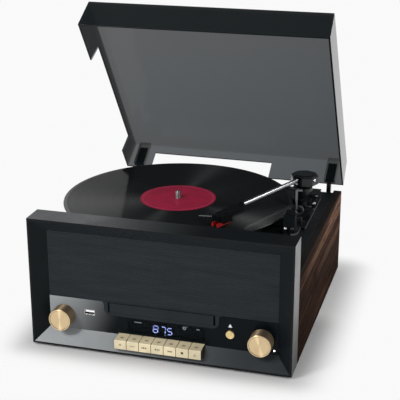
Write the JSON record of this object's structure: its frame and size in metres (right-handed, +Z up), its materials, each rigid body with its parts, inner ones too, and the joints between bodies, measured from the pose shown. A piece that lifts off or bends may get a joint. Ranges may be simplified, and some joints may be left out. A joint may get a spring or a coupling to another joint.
{
  "type": "stereo music centre",
  "caption": "Table-top stereo music centre: turntable under a lifting lid, disc tray, radio display, keys and two knobs in a black framed front with wooden sides.",
  "frame": {"origin": "on the floor, under the middle of the whole with the lid up", "axes": "-Y is the front, +Z is up, +X is the object's right side as seen from the front"},
  "size_m": [0.3467, 0.3892, 0.3869],
  "materials": {
    "gloss_black": "polished",
    "satin_black": "satin",
    "walnut": "satin",
    "grille_cloth": "fine horizontal weave",
    "board_black": "matt",
    "smoked_lid": "polished smoked plastic",
    "window": "polished",
    "screen": "polished",
    "light": "lit",
    "champagne_metal": "spun",
    "key_cream": "satin",
    "steel": "brushed",
    "chrome": "polished",
    "vinyl": "grooved",
    "label_paper": "matt",
    "mat_rubber": "matt",
    "platter_metal": "satin",
    "circuit_green": "satin",
    "red_plastic": "satin",
    "cone_paper": "matt",
    "zinc": "plated",
    "brass": "satin",
    "foot_rubber": "matt",
    "port_steel": "satin"
  },
  "bodies": {
    "cabinet": {"bottom_panel": "board_black", "side_board_left": "walnut", "side_board_right": "walnut", "rear_panel": "board_black", "top_deck": "satin_black", "bezel": "gloss_black", "baffle_board": "board_black", "grille_frame": "gloss_black", "grille_cloth": "grille_cloth", "control_panel": "gloss_black", "display_window": "window", "display_module": "screen", "usb_socket": "port_steel", "status_led": "light", "speaker_frame_left": "zinc", "speaker_frame_right": "zinc", "speaker_cone_left": "cone_paper", "speaker_cone_right": "cone_paper", "main_board": "circuit_green", "control_board": "circuit_green", "rear_sockets": "satin_black", "platter_motor": "zinc", "drive_belt": "mat_rubber", "bearing_housing": "zinc", "arm_plate": "gloss_black", "arm_base": "satin_black", "arm_rest": "satin_black", "hinge_brackets": "satin_black", "cd_mechanism": "zinc", "feet": "foot_rubber", "screws": "steel"},
    "platter_unit": {"platter": "platter_metal", "slip_mat": "mat_rubber", "record": "vinyl", "record_label": "label_paper", "spindle": "chrome"},
    "pulley": {"motor_pulley": "brass"},
    "arm_swivel": {"arm_housing": "satin_black"},
    "arm": {"arm_tube": "chrome", "headshell": "satin_black", "cartridge": "satin_black", "stylus": "red_plastic"},
    "platform": {"cue_platform": "steel"},
    "cue_handle": {"cue_lever": "chrome"},
    "clip": {"arm_clip": "steel"},
    "speed_lever": {"speed_selector": "satin_black"},
    "stop_lever": {"auto_stop_switch": "satin_black"},
    "lid_unit": {"lid": "smoked_lid", "hinge_leaves": "satin_black"},
    "tuning": {"tuning_knob": "champagne_metal"},
    "volume": {"volume_knob": "champagne_metal"},
    "eject": {"eject_button": "champagne_metal"},
    "tray": {"cd_tray": "gloss_black"},
    "button_1": {"key_1": "key_cream"},
    "button_2": {"key_2": "key_cream"},
    "button_3": {"key_3": "key_cream"},
    "button_4": {"key_4": "key_cream"},
    "button_5": {"key_5": "key_cream"},
    "button_6": {"key_6": "key_cream"},
    "button_7": {"key_7": "key_cream"}
  },
  "joints": [
    {"name": "platter_spin", "type": "hinge", "parent": "cabinet", "child": "platter_unit", "pos_m": [-0.02255, 0.00498, 0.13], "axis": [0, 0, 1], "continuous": true},
    {"name": "pulley_spin", "type": "hinge", "parent": "cabinet", "child": "pulley", "pos_m": [-0.08195, -0.05442, 0.122], "axis": [0, 0, 1], "continuous": true},
    {"name": "arm_swing", "type": "hinge", "parent": "cabinet", "child": "arm_swivel", "pos_m": [0.12874, 0.08688, 0.14], "axis": [0, 0, 1], "range_deg": [-20, 25.85]},
    {"name": "arm_lift", "type": "hinge", "parent": "arm_swivel", "child": "arm", "pos_m": [0.12874, 0.08688, 0.1525], "axis": [-0.9208, 0.3899, 0], "range_deg": [0, 4]},
    {"name": "platform_rise", "type": "slide", "parent": "cabinet", "child": "platform", "axis": [0, 0, 1], "range_m": [0, 0.00262]},
    {"name": "cue_turn", "type": "hinge", "parent": "cabinet", "child": "cue_handle", "pos_m": [0.14844, 0.08688, 0.128], "axis": [-1, 0, 0], "range_deg": [0, 60.05]},
    {"name": "clip_turn", "type": "hinge", "parent": "cabinet", "child": "clip", "pos_m": [0.1408, -0.03692, 0.147], "axis": [0, 1, 0], "range_deg": [-100, 0]},
    {"name": "speed_slide", "type": "slide", "parent": "cabinet", "child": "speed_lever", "axis": [1, 0, 0], "range_m": [-0.0042, 0.0042]},
    {"name": "stop_slide", "type": "slide", "parent": "cabinet", "child": "stop_lever", "axis": [1, 0, 0], "range_m": [0, 0.006]},
    {"name": "lid_turn", "type": "hinge", "parent": "cabinet", "child": "lid_unit", "pos_m": [0.01175, 0.15338, 0.106], "axis": [-1, 0, 0], "range_deg": [-55, 0]},
    {"name": "tuning_turn", "type": "hinge", "parent": "cabinet", "child": "tuning", "pos_m": [-0.11165, -0.19012, 0.0396], "axis": [0, 1, 0], "continuous": true},
    {"name": "volume_turn", "type": "hinge", "parent": "cabinet", "child": "volume", "pos_m": [0.13515, -0.19012, 0.0396], "axis": [0, 1, 0], "range_deg": [-150, 150]},
    {"name": "key_press_1", "type": "slide", "parent": "cabinet", "child": "button_1", "axis": [0, 1, 0], "range_m": [0, 0.0015], "stiffness_N_per_m": 600, "springref_m": -0.0008},
    {"name": "key_press_2", "type": "slide", "parent": "cabinet", "child": "button_2", "axis": [0, 1, 0], "range_m": [0, 0.0015], "stiffness_N_per_m": 600, "springref_m": -0.0008},
    {"name": "key_press_3", "type": "slide", "parent": "cabinet", "child": "button_3", "axis": [0, 1, 0], "range_m": [0, 0.0015], "stiffness_N_per_m": 600, "springref_m": -0.0008},
    {"name": "key_press_4", "type": "slide", "parent": "cabinet", "child": "button_4", "axis": [0, 1, 0], "range_m": [0, 0.0015], "stiffness_N_per_m": 600, "springref_m": -0.0008},
    {"name": "key_press_5", "type": "slide", "parent": "cabinet", "child": "button_5", "axis": [0, 1, 0], "range_m": [0, 0.0015], "stiffness_N_per_m": 600, "springref_m": -0.0008},
    {"name": "key_press_6", "type": "slide", "parent": "cabinet", "child": "button_6", "axis": [0, 1, 0], "range_m": [0, 0.0015], "stiffness_N_per_m": 600, "springref_m": -0.0008},
    {"name": "key_press_7", "type": "slide", "parent": "cabinet", "child": "button_7", "axis": [0, 1, 0], "range_m": [0, 0.0015], "stiffness_N_per_m": 600, "springref_m": -0.0008},
    {"name": "eject_press", "type": "slide", "parent": "cabinet", "child": "eject", "axis": [0, 1, 0], "range_m": [0, 0.0015], "stiffness_N_per_m": 400, "springref_m": -0.0008},
    {"name": "tray_slide", "type": "slide", "parent": "cabinet", "child": "tray", "axis": [0, -1, 0], "range_m": [0, 0.128]}
  ],
  "couplings": [
    {"joint": "pulley_spin", "follows": "platter_spin", "ratio": 12},
    {"joint": "platform_rise", "follows": "arm_lift", "m_per_rad": 0.0375},
    {"joint": "cue_turn", "follows": "arm_lift", "ratio": 15}
  ]
}
